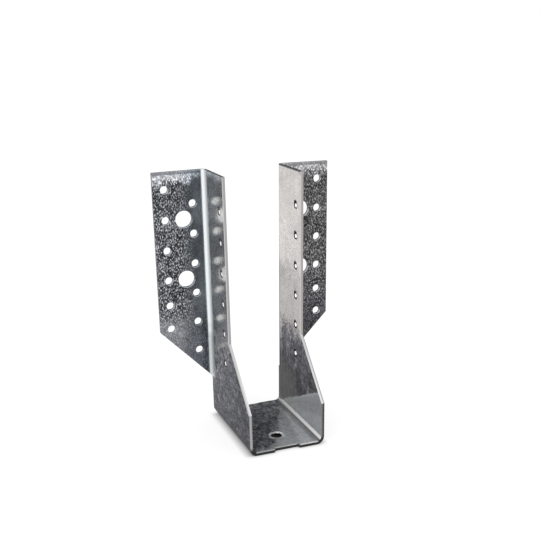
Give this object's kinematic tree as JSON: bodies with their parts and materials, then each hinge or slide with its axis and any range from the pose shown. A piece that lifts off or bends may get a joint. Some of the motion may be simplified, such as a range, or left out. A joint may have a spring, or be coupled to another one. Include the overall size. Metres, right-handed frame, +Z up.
{
  "type": "joist hanger",
  "caption": "U-shaped joist hanger folded from galvanised sheet steel, with outward header flanges punched for nails and bolts.",
  "frame": {"origin": "middle of the footprint, on the underside of the seat", "axes": "+X across the joist, +Y into the header that the flanges are fixed to, +Z up"},
  "size_m": [0.1218, 0.075, 0.169],
  "materials": {
    "zinc_coated_steel": "hot-dip galvanised, mottled and half glossy"
  },
  "bodies": {
    "root": {"joist_hanger": "zinc_coated_steel"}
  },
  "joints": []
}
